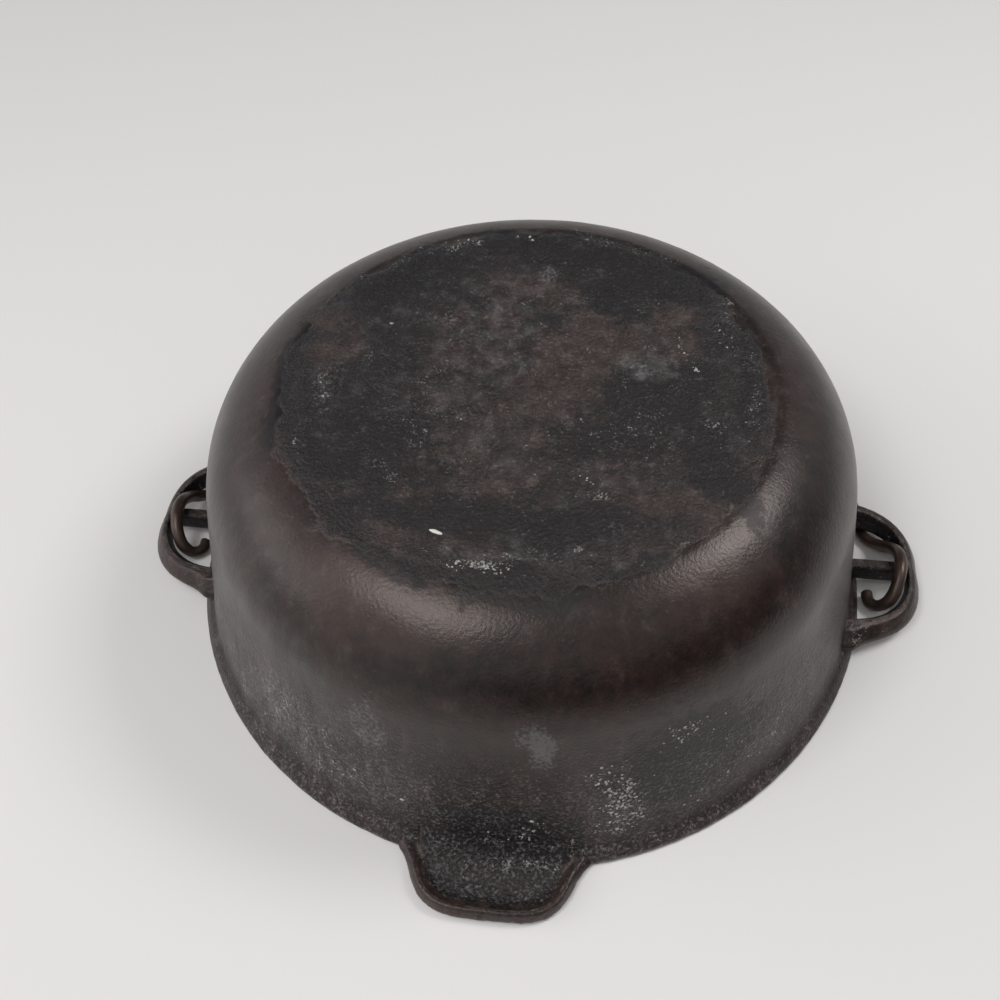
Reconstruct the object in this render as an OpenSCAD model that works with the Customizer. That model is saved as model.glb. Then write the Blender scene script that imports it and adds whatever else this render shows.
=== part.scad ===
// Cast-iron dutch oven standing mouth down, with its bail folded to the back.
// Millimetres. The mouth's rim lies in the plane z = 0 and the base faces +Z.
// The bail's ears lie on the X axis and the pouring tab points to -Y.

/* [Pot] */
// Radius of the rim's outer edge
rim_r = 136.5; // [110:0.5:180]
// Height from the rim to the base's outer face
pot_h = 104; // [80:1:150]
// Thickness of the wall and the floor
wall_t = 4.2; // [3:0.1:6]
// Lean of the wall, narrowing towards the base, in degrees
wall_lean = 9.75; // [4:0.25:14]
// Radius of the rounded shoulder between wall and base
shoulder_r = 41.6; // [20:0.2:50]
// Radius of the raised flat pad on the base
pad_r = 86.4; // [50:0.2:95]
// Height of the pad's edge over the shoulder
pad_h = 0.3; // [0.1:0.1:1.5]

/* [Rim] */
// How far the rim's flange stands out of the wall
flange_out = 3.1; // [2:0.1:6]
// Height of the flange at its inner end
flange_h = 5.5; // [4:0.1:9]
// Height where the flange's hollow fillet runs out on the wall
fillet_h = 11; // [8:0.5:16]
// Bevel on the rim's lower outer edge
rim_bevel = 1.1; // [0.4:0.1:2]

/* [Ears] */
// How far an ear's crest stands out of the rim
ear_out = 19.5; // [16:0.5:28]
// Half of an ear's width along its crest
ear_half_w = 29.3; // [24:0.1:36]
// Height of an ear's lower face over the rim's plane
ear_low = 5.4; // [5.2:0.1:8]
// Height of an ear's crest over the rim's plane
ear_top = 13; // [11:0.1:18]
// Thickness of the web that the bail hooks over
web_t = 5.6; // [4.2:0.1:7]

/* [Tab] */
// How far the pouring tab stands out of the rim
tab_out = 19.4; // [12:0.2:30]
// Half of the tab's width
tab_half_w = 30; // [20:0.5:45]
// Height of the tab's floor
tab_floor_h = 3.4; // [2.2:0.1:6]
// Height of the lip round the tab
tab_lip_h = 6.5; // [4.5:0.1:10]

/* [Bail] */
// Diameter of the bail's rod
rod_d = 4.8; // [3:0.1:5]
// How far the folded bail's crown stands out of the rim
bail_out = 19.4; // [9:0.2:60]
// Room between the folded bail and the surface below it
rod_lift = 0.1; // [0.1:0.1:0.4]
// Running room between a hook and the web inside it
hook_gap = 0.5; // [0.3:0.1:1.5]
// Running room between a hook and the ear's crest
hook_side_gap = 1.2; // [1:0.1:2]

/* [Hidden] */

$fn = 96;
iron = [0.16, 0.145, 0.14];
wire = [0.30, 0.26, 0.23];
cut_past = 1;

// Pot: the wall's line and the shoulder's circle, which is tangent to it
wall_foot_r = rim_r - flange_out;
body_h = pot_h - pad_h;
function wall_r(z) = wall_foot_r - z * tan(wall_lean);
wall_skew = wall_t / cos(wall_lean);
shoulder_z = body_h - shoulder_r;
shoulder_x = wall_r(shoulder_z) - shoulder_r / cos(wall_lean);
function shoulder_end(r) = [shoulder_x + r * cos(wall_lean), shoulder_z + r * sin(wall_lean)];
pad_root = 3;
pad_bevel = 0.4;

// Rim: an upright land, a slope and a hollow fillet on the outside, a bevel inside
rim_land = 0.8;
flange_slope = 1.9;
fillet_in = 2.5;
fillet_steps = 5;
mouth_bevel = 0.8;

// Ears: the crest is half of a superellipse whose ends lie inside the wall
ear_root_x = rim_r - 11;
ear_len = rim_r + ear_out - ear_root_x;
ear_power = 2.5;
ear_steps = 40;

// An ear's section: widths at its foot and its top, inwards and outwards of the crest's
// line, how much each grows at the sides, and the flare where the ear leaves the wall
ear_foot_in = 1.4;
ear_foot_in_side = 2.4;
ear_foot_out = 3.6;
ear_foot_out_side = 2;
ear_top_in = 1.4;
ear_top_in_side = 0.4;
ear_top_out = 1.4;
ear_top_out_side = 1.4;
ear_top_share = 0.6;
ear_flare = 4.5;
ear_flare_from = 6;
ear_flare_run = 3.5;

// Web of an ear, from a little under the ear's lower face to just under its crest
web_low = ear_low - 1.6;
web_top = ear_top - 0.2;
web_round = 2;
web_root_x = ear_root_x + 2;
web_end_x = rim_r + ear_out - 0.8;

// Tab: a superellipse outline whose ends lie inside the wall
tab_root_y = rim_r - 16;
tab_len = rim_r + tab_out - tab_root_y;
tab_power = 3.5;
tab_steps = 44;
tab_low = 0.8;
tab_flare = 5;
tab_flare_from = 4;
tab_flare_run = 4.5;
lip_in = 3;
lip_foot = 2;
lip_follow = 0.8;
rise_steps = 6;

// Bail: the pivot is the middle of the web
rod_r = rod_d / 2;
pivot_z = (web_low + web_top) / 2;
rest_drop = pivot_z - rod_r - rod_lift;
web_corner = norm([web_t / 2 - web_round, (web_top - web_low) / 2 - web_round]) + web_round;
hook_r = max(web_corner + rod_r + hook_gap, rest_drop);
hook_x = rim_r + ear_out - ear_foot_in - rod_r - hook_side_gap;
hook_steps = 4;
rod_sides = 14;
arc_steps = 56;
nose_len = 0.9;
nose_share = 0.6;

// One hook, from its tip in front of the web, over the web and behind it to the arm.
// Each point is an offset from the pivot: a share of the hook's reach past the rim,
// of the ear's half width, and of the hook's rise, or of the folded rod's drop below 0
hook_points = [
    [-0.786, -0.287, -0.88],
    [-0.745, -0.44, -0.845],
    [-0.51, -0.52, -0.6],
    [-0.289, -0.5, 0.04],
    [-0.145, -0.386, 0.57],
    [-0.049, -0.2, 0.97],
    [0, -0.01, 1.035],
    [-0.014, 0.157, 0.865],
    [-0.083, 0.328, 0.36],
    [-0.214, 0.464, -0.24],
    [-0.407, 0.594, -0.776],
    [-0.634, 0.724, -0.965],
    [-0.752, 0.92, -1]
];
arm_end = [hook_x - 0.822 * (hook_x - rim_r), 1.16 * ear_half_w];

// The folded bail's arc, through the arms' ends and the crown
crown_y = rim_r + bail_out - rod_r;
arc_centre_y = (crown_y ^ 2 - arm_end[0] ^ 2 - arm_end[1] ^ 2) / (2 * (crown_y - arm_end[1]));
arc_r = crown_y - arc_centre_y;
arc_start = asin((arm_end[1] - arc_centre_y) / arc_r);

function unit(v) = v / norm(v);
function flat_normal(a, b) = unit([b[1] - a[1], a[0] - b[0]]);
function neighbours(list, i) = [list[max(i - 1, 0)], list[min(i + 1, len(list) - 1)]];

// Points along a curve from a to c that leaves and arrives pointing at b
function bezier(a, b, c, n) = [
    for (i = [0:n])
        let (t = i / n)
        (1 - t) ^ 2 * a + 2 * t * (1 - t) * b + t ^ 2 * c
];

// Half of a superellipse in the first two coordinates, from -Y round +X to +Y
function half_superellipse(root, along, across, power, steps) = [
    for (i = [0:steps])
        let (f = -90 + 180 * i / steps)
        [
            root + along * pow(max(cos(f), 0), 2 / power),
            across * sign(f) * pow(abs(sin(f)), 2 / power)
        ]
];

// Skin over a list of rings with equally many points, closed at both ends
module loft(rings) {
    n = len(rings);
    m = len(rings[0]);
    sides = [
        for (i = [0:n - 2], j = [0:m - 1])
            let (k = (j + 1) % m)
            each [
                [i * m + j, i * m + k, (i + 1) * m + k],
                [i * m + j, (i + 1) * m + k, (i + 1) * m + j]
            ]
    ];
    first = [for (j = [0:m - 1]) m - 1 - j];
    last = [for (j = [0:m - 1]) (n - 1) * m + j];
    polyhedron([for (ring = rings) each ring], concat([first], sides, [last]), convexity = 8);
}

// A bar whose section, in outward offset and height, follows a flat path
module edge_bar(path, sections) {
    loft([
        for (i = [0:len(path) - 1])
            let (
                near = neighbours(path, i),
                out = flat_normal(near[0], near[1])
            )
            [for (q = sections[i]) [path[i][0] + out[0] * q[0], path[i][1] + out[1] * q[0], q[1]]]
    ]);
}

// Outline of the pot's iron, from the axis outwards
module body_profile() {
    fillet = bezier(
        [rim_r - fillet_in, flange_h],
        [wall_r(flange_h) - 0.3, flange_h + 0.8],
        [wall_r(fillet_h), fillet_h],
        fillet_steps
    );
    polygon(concat(
        [
            [0, 0],
            [rim_r - rim_bevel, 0],
            [rim_r, rim_bevel],
            [rim_r, rim_bevel + rim_land],
            [rim_r - flange_slope, flange_h - 0.6]
        ],
        fillet,
        [shoulder_end(shoulder_r), [shoulder_x, body_h], [0, body_h]]
    ));
    translate([shoulder_x, shoulder_z])
        circle(shoulder_r);
}

// Outline of the hollow inside the pot
module cavity_profile() {
    inner_r = shoulder_r - wall_t;
    mouth_r = wall_r(0) - wall_skew + mouth_bevel;
    polygon([
        [0, -cut_past],
        [mouth_r + cut_past, -cut_past],
        [mouth_r, 0],
        [wall_r(1) - wall_skew, 1],
        shoulder_end(inner_r),
        [shoulder_x, body_h - wall_t],
        [0, body_h - wall_t]
    ]);
    translate([shoulder_x, shoulder_z])
        circle(inner_r);
}

module base_pad() {
    translate([0, 0, pot_h - pad_root])
        cylinder(h = pad_root - pad_bevel, r = pad_r);
    translate([0, 0, pot_h - pad_bevel])
        cylinder(h = pad_bevel, r1 = pad_r, r2 = pad_r - pad_bevel);
}

// Section of an ear's loop: a rounded crest on a foot that widens at the sides
function ear_section(p) =
    let (
        side = abs(p[1]) / ear_half_w,
        flare = ear_flare * exp(-max(p[0] - rim_r + ear_flare_from, 0) / ear_flare_run),
        foot_in = -ear_foot_in - ear_foot_in_side * side ^ 2,
        foot_out = ear_foot_out + ear_foot_out_side * side + flare,
        top_in = -ear_top_in - ear_top_in_side * side,
        top_out = ear_top_out + ear_top_out_side * side + ear_top_share * flare
    )
    [
        [foot_in + 0.8, ear_low],
        [foot_out - 1, ear_low],
        [foot_out, ear_low + 1],
        [foot_out - 0.5, ear_low + 3],
        [top_out, ear_top - 1.3],
        [top_out - 1, ear_top - 0.3],
        [-0.2, ear_top],
        [-1.2, ear_top - 0.4],
        [top_in, ear_top - 1.6],
        [foot_in, ear_low + 0.9]
    ];

module ear_loop() {
    crest = half_superellipse(ear_root_x, ear_len, ear_half_w, ear_power, ear_steps);
    edge_bar(crest, [for (p = crest) ear_section(p)]);
}

// The rib across an ear, rounded on its long edges, that divides it in two
module ear_web() {
    half_t = web_t / 2 - web_round;
    low = web_low + web_round;
    high = web_top - web_round;
    translate([web_root_x, 0, 0])
        rotate([90, 0, 90])
            linear_extrude(web_end_x - web_root_x) {
                for (x = [-half_t, half_t], z = [low, high])
                    translate([x, z])
                        circle(web_round);
                translate([-web_t / 2, low])
                    square([web_t, high - low]);
                translate([-half_t, web_low])
                    square([2 * half_t, web_top - web_low]);
            }
}

module ear() {
    ear_loop();
    ear_web();
}

// Section of the tab's lip: a sloping outer face, a narrow crest and a steep inner face
function lip_section(p) =
    let (
        flare = tab_flare * exp(-max(p[0] - rim_r + tab_flare_from, 0) / tab_flare_run),
        crest = flare * lip_follow - lip_in
    )
    [
        [-lip_in - lip_foot, tab_low],
        [flare - 0.8, tab_low],
        [flare, tab_low + 0.8],
        [flare - 0.2, tab_low + 2],
        [crest + 0.8, tab_lip_h - 0.5],
        [crest, tab_lip_h],
        [-lip_in - 0.7, tab_lip_h],
        [-lip_in - 1.4, tab_lip_h - 0.8],
        [-lip_in - lip_foot, tab_floor_h]
    ];

module tab_lip() {
    edge = half_superellipse(tab_root_y, tab_len, tab_half_w, tab_power, tab_steps);
    rotate([0, 0, -90])
        edge_bar(edge, [for (p = edge) lip_section(p)]);
}

// The tab's floor, which rises in a hollow curve to meet the wall
module tab_floor() {
    inset = lip_in + 1;
    shape = half_superellipse(tab_root_y, tab_len - inset, tab_half_w - inset, tab_power, tab_steps);
    rise_top = fillet_h + 0.5;
    rise = bezier(
        [rim_r + 4, tab_floor_h],
        [wall_r(tab_floor_h) + 0.5, tab_floor_h + 0.4],
        [wall_r(fillet_h) - 0.5, rise_top],
        rise_steps
    );
    intersection() {
        rotate([0, 0, -90])
            linear_extrude(rise_top + cut_past)
                polygon(shape);
        rotate_extrude()
            polygon(concat(
                [[tab_root_y, tab_low], [rim_r + tab_out, tab_low], [rim_r + tab_out, tab_floor_h]],
                rise,
                [[tab_root_y, rise_top]]
            ));
    }
}

module pot() {
    color(iron)
        difference() {
            union() {
                rotate_extrude()
                    body_profile();
                base_pad();
                ear();
                mirror([1, 0, 0])
                    ear();
                tab_lip();
                tab_floor();
            }
            rotate_extrude()
                cavity_profile();
        }
}

// A smooth curve through the points, with n steps from each point to the next
function smooth(points, n) = [
    for (i = [0:len(points) - 2], j = [0:n - 1])
        let (
            t = j / n,
            a = points[max(i - 1, 0)],
            b = points[i],
            c = points[i + 1],
            d = points[min(i + 2, len(points) - 1)]
        )
        0.5 * (2 * b + (c - a) * t + (2 * a - 5 * b + 4 * c - d) * t ^ 2 + (3 * b - a - 3 * c + d) * t ^ 3)
];

function mirrored(points) = [for (i = [len(points) - 1:-1:0]) [-points[i][0], points[i][1], points[i][2]]];

function hook_place(share) = [
    hook_x + (hook_x - rim_r) * share[0],
    ear_half_w * share[1],
    pivot_z + (share[2] < 0 ? rest_drop : hook_r) * share[2]
];

// One bent rod, from the tip of one hook round the crown to the other
bail_arc = [
    for (i = [0:arc_steps])
        let (f = arc_start + (180 - 2 * arc_start) * i / arc_steps)
        [arc_r * cos(f), arc_centre_y + arc_r * sin(f), pivot_z - rest_drop]
];
right_hook = smooth(concat([for (p = hook_points) hook_place(p)], [bail_arc[0]]), hook_steps);
bail_path = concat(right_hook, bail_arc, mirrored(right_hook));

function tangent(path, i) =
    let (near = neighbours(path, i))
    unit(near[1] - near[0]);

// Each ring's first direction, carried along the path without twisting
function carried(path) = [
    for (
        i = 0, side = unit(cross(tangent(path, 0), [0, 0, 1]));
        i < len(path);
        i = i + 1,
        side = i < len(path) ? unit(side - tangent(path, i) * (side * tangent(path, i))) : side
    )
        side
];

function rod_ring(centre, along, side, r) =
    let (up = cross(along, side))
    [for (j = [0:rod_sides - 1]) centre + r * (cos(360 * j / rod_sides) * side + sin(360 * j / rod_sides) * up)];

module bail() {
    sides = carried(bail_path);
    last = len(bail_path) - 1;
    start_dir = tangent(bail_path, 0);
    end_dir = tangent(bail_path, last);
    nose_r = rod_r * nose_share;
    color(wire)
        loft(concat(
            [rod_ring(bail_path[0] - nose_len * start_dir, start_dir, sides[0], nose_r)],
            [for (i = [0:last]) rod_ring(bail_path[i], tangent(bail_path, i), sides[i], rod_r)],
            [rod_ring(bail_path[last] + nose_len * end_dir, end_dir, sides[last], nose_r)]
        ));
}

pot();
bail();
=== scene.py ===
"""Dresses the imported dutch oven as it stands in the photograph, mouth down, bail folded back.

The pot is sand-cast iron under old, patchy seasoning. Sizes in the classes are in
millimetres and repeat those of the CAD source; meshes are made in metres.
"""
import logging
import math
import random
import sys
from dataclasses import dataclass
from enum import Enum

import bmesh
import bpy
import numpy as np
from mathutils import Matrix, Vector, noise

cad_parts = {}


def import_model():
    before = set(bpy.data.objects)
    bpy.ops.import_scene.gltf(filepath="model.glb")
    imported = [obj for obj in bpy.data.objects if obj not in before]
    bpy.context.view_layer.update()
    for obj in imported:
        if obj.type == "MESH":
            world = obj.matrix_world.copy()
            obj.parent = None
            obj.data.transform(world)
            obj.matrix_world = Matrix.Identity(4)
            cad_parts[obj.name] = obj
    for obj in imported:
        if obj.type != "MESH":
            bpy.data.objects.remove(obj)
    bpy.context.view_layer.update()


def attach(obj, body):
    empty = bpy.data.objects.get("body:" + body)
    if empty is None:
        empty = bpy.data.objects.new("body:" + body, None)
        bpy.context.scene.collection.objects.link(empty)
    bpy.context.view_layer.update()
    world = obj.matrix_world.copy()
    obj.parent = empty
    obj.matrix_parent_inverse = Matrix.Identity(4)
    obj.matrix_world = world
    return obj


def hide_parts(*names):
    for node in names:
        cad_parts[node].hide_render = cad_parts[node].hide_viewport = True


MM = 0.001

log = logging.getLogger("dutch_oven")


class Wear(Enum):
    """Kinds of wear and dirt on the iron, two of which also carry painted shade and a painted reflection; each is a
    float attribute on its meshes.
    """

    CARBON = "carbon"
    BARE = "bare"
    # grey dust, and a painted reflection on the left wall
    DUST_AND_REFLECTION = "dusty"
    # burnt coat, and painted shade inside the ears and low on the front wall
    BURNT_AND_SHADE = "burnt"
    WIPED = "wiped"
    ASH = "ash"
    GROUND = "ground"
    PITTED = "pitted"


class Grain(Enum):
    """Scales of unevenness in the iron and its coat, in millimetres."""

    SMEAR = 42
    PATCH = 15
    STREAK = 6
    MOTTLE = 5
    PEEL = 2.4
    SAND = 1.2
    CRUMB = 0.8


class Body(Enum):
    """The two CAD bodies, each with the node of its own name."""

    POT = "pot"
    BAIL = "bail"


class Slot(Enum):
    """The record's material slots."""

    IRON = "seasoned_iron"
    WIRE = "bail_wire"


# Materials


def linear(code: str) -> tuple[float, float, float, float]:
    """Turns an sRGB hex colour into linear light.

    Args:
        code: six hex digits with or without a leading #.

    Returns:
        Red, green, blue and an alpha of 1.
    """
    code = code.lstrip("#")
    out = []
    for i in (0, 2, 4):
        c = int(code[i:i + 2], 16) / 255
        out.append(c / 12.92 if c <= 0.04045 else ((c + 0.055) / 1.055) ** 2.4)
    return (*out, 1.0)


def add(tree: bpy.types.NodeTree, kind: str, links: dict | None = None, **settings) -> bpy.types.Node:
    """Adds one node to a tree.

    Args:
        tree: the material's or world's node tree.
        kind: the node's type name, such as ShaderNodeTexNoise.
        links: input name or number to an output socket that feeds it.
        **settings: node properties, and plain input values by name with _ for a space.

    Returns:
        The new node.
    """
    node = tree.nodes.new(kind)
    for key, value in settings.items():
        if hasattr(node, key):
            setattr(node, key, value)
        elif key.startswith("in_"):
            node.inputs[int(key[3:])].default_value = value
        else:
            node.inputs[key.replace("_", " ")].default_value = value
    for key, source in (links or {}).items():
        tree.links.new(source, node.inputs[key])
    return node


@dataclass(frozen=True)
class Layer:
    """A kind of wear as the eye sees it, some also carrying painted shade: it shows where wear plus a noise pass a
    level.

    The noise breaks up its edge. matt is added to the roughness, and rise lifts it.
    """

    kind: Wear
    colour: str
    cover: float
    grain: Grain
    reach: float
    level: float
    width: float
    matt: float = 0
    rise: float = 0


IRON_LAYERS = (
    Layer(Wear.CARBON, "111316", 0.8, Grain.MOTTLE, 1.5, 1.25, 0.24, 0.1, 0.1),
    Layer(Wear.BARE, "392e29", 0.62, Grain.PATCH, 1.5, 1.25, 0.25),
    # grey dust; on the left wall this layer is also a painted reflection of the bright table
    Layer(Wear.DUST_AND_REFLECTION, "6a6866", 0.2, Grain.STREAK, 2.0, 1.5, 0.4, 0.05),
    # burnt coat; this layer also paints shade inside the ears and low on the front of the wall
    Layer(Wear.BURNT_AND_SHADE, "06090e", 0.9, Grain.MOTTLE, 2.0, 1.5, 0.14, 0.1, -0.12),
    Layer(Wear.WIPED, "7b7a7b", 0.34, Grain.SAND, 1.8, 1.4, 0.24, 0.05),
    Layer(Wear.ASH, "9a9996", 0.7, Grain.CRUMB, 4.2, 3.2, 0.2, 0.3, 0.3),
    Layer(Wear.GROUND, "6b6560", 0.6, Grain.MOTTLE, 0.8, 0.9, 0.15, -0.03),
)


@dataclass(frozen=True)
class SeasonedCastIron:
    """Sand-cast iron under baked oil: a thin, hard, near-black varnish.

    The varnish gives soft, brownish highlights like a dark plastic's (IOR 1.5), while
    the sand mould's grain breaks them up. On the base the coat has burnt to matt
    carbon with bare brown places, grey scale and pale ash.
    """

    name: str = "seasoned_cast_iron"
    coat_dark: str = "0c0f0d"
    coat_light: str = "2d201d"
    hollows: float = 0.32
    crests: float = 1.9
    tint: str = "fff1ec"

    def material(self) -> bpy.types.Material:
        """Builds the material.

        Returns:
            A material whose wear follows the meshes' attributes.
        """
        made = bpy.data.materials.new(self.name)
        made.use_nodes = True
        t = made.node_tree
        t.nodes.clear()
        place = add(t, "ShaderNodeTexCoord").outputs["Object"]
        runs = add(t, "ShaderNodeVectorMath", {0: place}, operation="MULTIPLY", in_1=(1, 1, 0.25)).outputs["Vector"]
        noises = {}
        for grain in Grain:
            at = runs if grain is Grain.STREAK else place
            noises[grain] = add(t, "ShaderNodeTexNoise", {"Vector": at}, Scale=1 / (grain.value * MM),
                                Detail=7 if grain.value > 3 else 3, Roughness=0.62).outputs["Fac"]
        noises[Grain.CRUMB] = add(t, "ShaderNodeMath", {0: noises[Grain.MOTTLE], 2: noises[Grain.CRUMB]},
                                  operation="MULTIPLY_ADD", in_1=0.6).outputs[0]
        noises[Grain.CRUMB] = add(t, "ShaderNodeMath", {0: noises[Grain.CRUMB]}, operation="MULTIPLY",
                                  in_1=0.625).outputs[0]
        wear = {kind: add(t, "ShaderNodeAttribute", attribute_name=kind.value).outputs["Fac"] for kind in Wear}

        share = add(t, "ShaderNodeMath", {0: noises[Grain.SMEAR], 1: noises[Grain.MOTTLE]}, operation="ADD").outputs[0]
        share = add(t, "ShaderNodeMapRange", {"Value": share}, From_Min=0.75, From_Max=1.25).outputs["Result"]
        colour = add(t, "ShaderNodeMix", {0: share}, data_type="RGBA", in_6=linear(self.coat_dark),
                     in_7=linear(self.coat_light)).outputs[2]
        gloss = add(t, "ShaderNodeMapRange", {"Value": noises[Grain.PATCH]}, From_Min=0.3, From_Max=0.7,
                    To_Min=0.27, To_Max=0.36).outputs["Result"]
        height = add(t, "ShaderNodeMath", {0: noises[Grain.MOTTLE], 2: noises[Grain.PEEL]},
                     operation="MULTIPLY_ADD", in_1=0.3).outputs[0]
        height = add(t, "ShaderNodeMath", {0: height}, operation="MULTIPLY", in_1=0.25).outputs[0]
        masks = {Wear.PITTED: wear[Wear.PITTED]}
        for layer in IRON_LAYERS:
            mixed = add(t, "ShaderNodeMath", {0: noises[layer.grain], 2: wear[layer.kind]},
                        operation="MULTIPLY_ADD", in_1=layer.reach).outputs[0]
            mask = add(t, "ShaderNodeMapRange", {"Value": mixed}, interpolation_type="SMOOTHSTEP",
                       From_Min=layer.level - layer.width, From_Max=layer.level + layer.width).outputs["Result"]
            cover = add(t, "ShaderNodeMath", {0: mask}, operation="MULTIPLY", in_1=layer.cover).outputs[0]
            colour = add(t, "ShaderNodeMix", {0: cover, 6: colour}, data_type="RGBA",
                         in_7=linear(layer.colour)).outputs[2]
            gloss = add(t, "ShaderNodeMath", {0: mask, 2: gloss}, operation="MULTIPLY_ADD", in_1=layer.matt).outputs[0]
            height = add(t, "ShaderNodeMath", {0: mask, 2: height}, operation="MULTIPLY_ADD",
                         in_1=layer.rise).outputs[0]
            masks[layer.kind] = mask

        rough = add(t, "ShaderNodeMath", {0: masks[Wear.CARBON], 1: wear[Wear.PITTED]}, operation="MAXIMUM").outputs[0]
        gloss = add(t, "ShaderNodeMath", {0: wear[Wear.PITTED], 2: gloss}, operation="MULTIPLY_ADD",
                    in_1=0.06).outputs[0]
        shade = add(t, "ShaderNodeMath", {0: noises[Grain.SAND], 1: noises[Grain.STREAK]}, operation="ADD").outputs[0]
        shade = add(t, "ShaderNodeMapRange", {"Value": shade}, From_Min=0.7, From_Max=1.3,
                    To_Min=self.hollows, To_Max=self.crests).outputs["Result"]
        share = add(t, "ShaderNodeMapRange", {"Value": rough}, To_Min=0.35).outputs["Result"]
        colour = add(t, "ShaderNodeMix", {0: share, 6: colour, 7: shade}, data_type="RGBA",
                     blend_type="MULTIPLY").outputs[2]
        deep = add(t, "ShaderNodeMapRange", {"Value": rough}, To_Min=0.45, To_Max=3.8).outputs["Result"]
        height = add(t, "ShaderNodeMath", {0: noises[Grain.SAND], 1: deep, 2: height},
                     operation="MULTIPLY_ADD").outputs[0]
        bump = add(t, "ShaderNodeBump", {"Height": height}, Strength=0.7, Distance=0.3 * MM)

        shader = add(t, "ShaderNodeBsdfPrincipled",
                     {"Base Color": colour, "Roughness": gloss, "Normal": bump.outputs["Normal"]},
                     IOR=1.5, Specular_Tint=linear(self.tint))
        add(t, "ShaderNodeOutputMaterial", {"Surface": shader.outputs["BSDF"]})
        return made


@dataclass(frozen=True)
class HandledIronRod:
    """Forged iron rod, dark with old oil and rubbed by hands.

    Handling leaves it smoother than the casting, with a bronze-brown sheen and
    small sharp highlights.
    """

    name: str = "handled_iron_rod"
    dark: str = "1c1817"
    light: str = "42362f"
    tint: str = "ffe4d4"
    cloud_mm: float = 9
    grain_mm: float = 1.1

    def material(self) -> bpy.types.Material:
        """Builds the material.

        Returns:
            A satin dark brown material with fine scale marks.
        """
        made = bpy.data.materials.new(self.name)
        made.use_nodes = True
        t = made.node_tree
        t.nodes.clear()
        place = add(t, "ShaderNodeTexCoord").outputs["Object"]
        cloud = add(t, "ShaderNodeTexNoise", {"Vector": place}, Scale=1 / (self.cloud_mm * MM), Detail=6,
                    Roughness=0.6).outputs["Fac"]
        grain = add(t, "ShaderNodeTexNoise", {"Vector": place}, Scale=1 / (self.grain_mm * MM), Detail=3,
                    Roughness=0.5).outputs["Fac"]
        share = add(t, "ShaderNodeMapRange", {"Value": cloud}, From_Min=0.35, From_Max=0.65).outputs["Result"]
        colour = add(t, "ShaderNodeMix", {0: share}, data_type="RGBA", in_6=linear(self.dark),
                     in_7=linear(self.light)).outputs[2]
        gloss = add(t, "ShaderNodeMapRange", {"Value": cloud}, From_Min=0.3, From_Max=0.7, To_Min=0.42,
                    To_Max=0.3).outputs["Result"]
        height = add(t, "ShaderNodeMath", {0: cloud, 2: grain}, operation="MULTIPLY_ADD", in_1=0.6).outputs[0]
        bump = add(t, "ShaderNodeBump", {"Height": height}, Strength=0.4, Distance=0.2 * MM)
        shader = add(t, "ShaderNodeBsdfPrincipled",
                     {"Base Color": colour, "Roughness": gloss, "Normal": bump.outputs["Normal"]},
                     IOR=1.6, Specular_Tint=linear(self.tint))
        add(t, "ShaderNodeOutputMaterial", {"Surface": shader.outputs["BSDF"]})
        return made


@dataclass(frozen=True)
class DriedResidue:
    """Dried mineral crumbs left by water and ash: pale, dusty and quite matt."""

    name: str = "dried_residue"
    light: str = "b4b1ab"
    dark: str = "5a5853"
    cloud_mm: float = 3

    def material(self) -> bpy.types.Material:
        """Builds the material.

        Returns:
            A chalky material that varies from crumb to crumb.
        """
        made = bpy.data.materials.new(self.name)
        made.use_nodes = True
        t = made.node_tree
        t.nodes.clear()
        place = add(t, "ShaderNodeTexCoord").outputs["Object"]
        cloud = add(t, "ShaderNodeTexNoise", {"Vector": place}, Scale=1 / (self.cloud_mm * MM), Detail=3,
                    Roughness=0.5).outputs["Fac"]
        share = add(t, "ShaderNodeMapRange", {"Value": cloud}, From_Min=0.35, From_Max=0.65).outputs["Result"]
        colour = add(t, "ShaderNodeMix", {0: share}, data_type="RGBA", in_6=linear(self.dark),
                     in_7=linear(self.light)).outputs[2]
        shader = add(t, "ShaderNodeBsdfPrincipled", {"Base Color": colour}, Roughness=0.85, IOR=1.5)
        add(t, "ShaderNodeOutputMaterial", {"Surface": shader.outputs["BSDF"]})
        return made


@dataclass(frozen=True)
class PlainSheet:
    """A painted board or cloth of one even colour, as a studio's floor or flag has."""

    name: str
    colour: str
    roughness: float = 0.6

    def material(self) -> bpy.types.Material:
        """Builds the material: one matt colour."""
        made = bpy.data.materials.new(self.name)
        made.use_nodes = True
        t = made.node_tree
        t.nodes.clear()
        shader = add(t, "ShaderNodeBsdfPrincipled", Base_Color=linear(self.colour), Roughness=self.roughness)
        add(t, "ShaderNodeOutputMaterial", {"Surface": shader.outputs["BSDF"]})
        return made


# Mesh making


def finished(bm: bmesh.types.BMesh, name: str, finish: bpy.types.Material) -> bpy.types.Object:
    """Turns a bmesh in metres into a smooth-shaded object at the origin.

    Args:
        bm: the mesh, which is freed.
        name: the object's name.
        finish: its material.

    Returns:
        The new object, linked to the scene.
    """
    bmesh.ops.remove_doubles(bm, verts=bm.verts, dist=0.00001)
    bmesh.ops.recalc_face_normals(bm, faces=bm.faces)
    mesh = bpy.data.meshes.new(name)
    bm.to_mesh(mesh)
    bm.free()
    mesh.shade_smooth()
    mesh.materials.append(finish)
    piece = bpy.data.objects.new(name, mesh)
    bpy.context.scene.collection.objects.link(piece)
    return piece


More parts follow.
